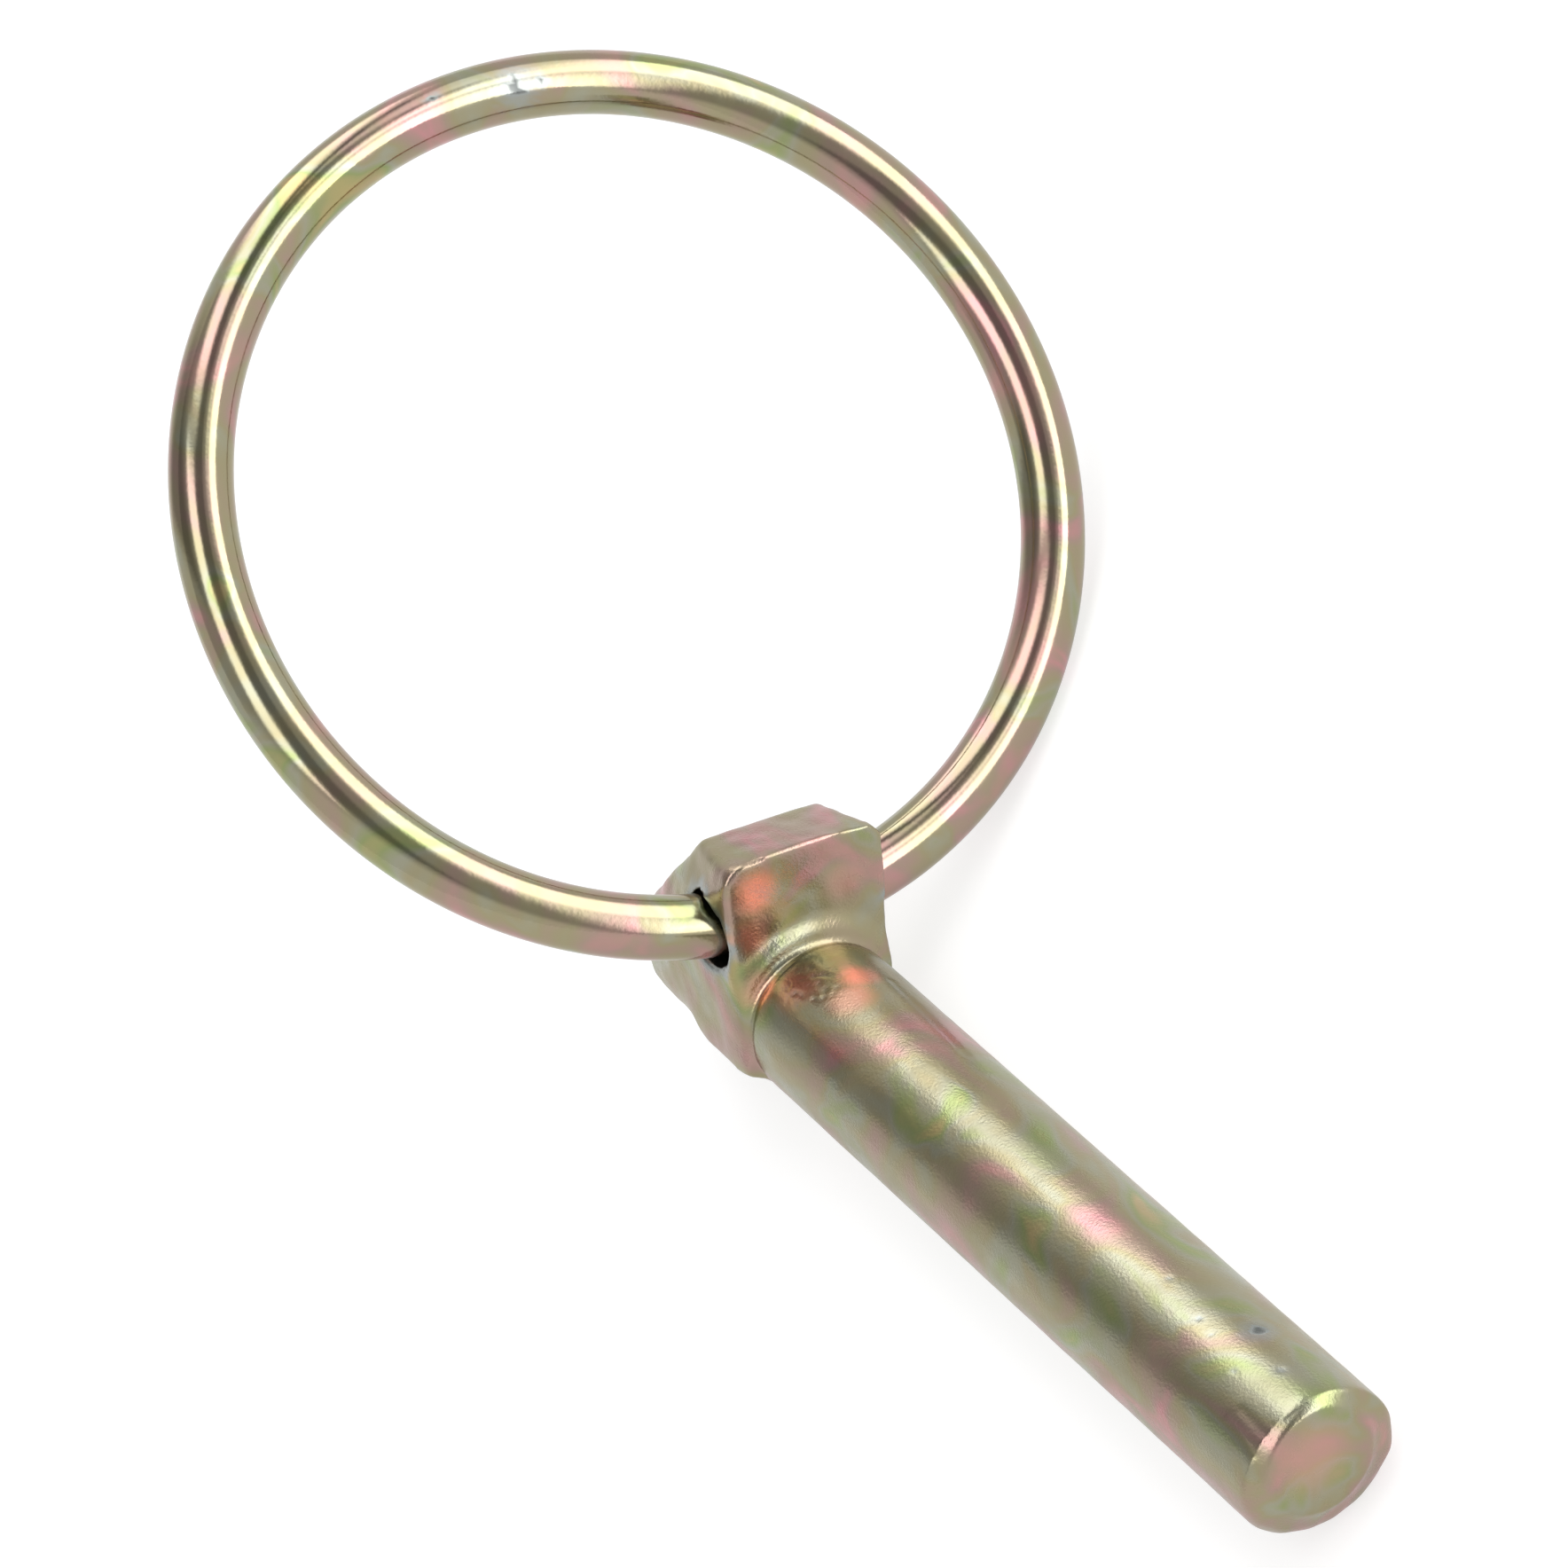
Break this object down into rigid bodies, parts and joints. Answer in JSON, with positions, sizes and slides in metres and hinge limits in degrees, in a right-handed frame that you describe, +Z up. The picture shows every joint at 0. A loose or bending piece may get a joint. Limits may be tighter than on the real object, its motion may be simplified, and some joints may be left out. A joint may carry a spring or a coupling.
{
  "type": "lynch pin",
  "caption": "Lynch pin: a forged steel pin with an offset lug, and an open wire ring that swings in a cross hole through the lug.",
  "frame": {"origin": "centre of the part's footprint, on the surface that it lies on", "axes": "+Z up; +X along the shank from the lug to the tip, as the pin lies on its tip, its collar and one side of its ring"},
  "size_m": [0.1002, 0.0532, 0.0501],
  "materials": {
    "pin_steel": "satin yellow zinc plate",
    "ring_wire": "bright yellow zinc plate"
  },
  "bodies": {
    "pin": {"pin": "pin_steel"},
    "ring": {"ring": "ring_wire"}
  },
  "joints": [
    {"name": "ring_swing", "type": "hinge", "parent": "pin", "child": "ring", "pos_m": [-0.01264, -0.01345, 0.01031], "axis": [0.0086, -0.7573, 0.653], "range_deg": [-130, 213]}
  ]
}
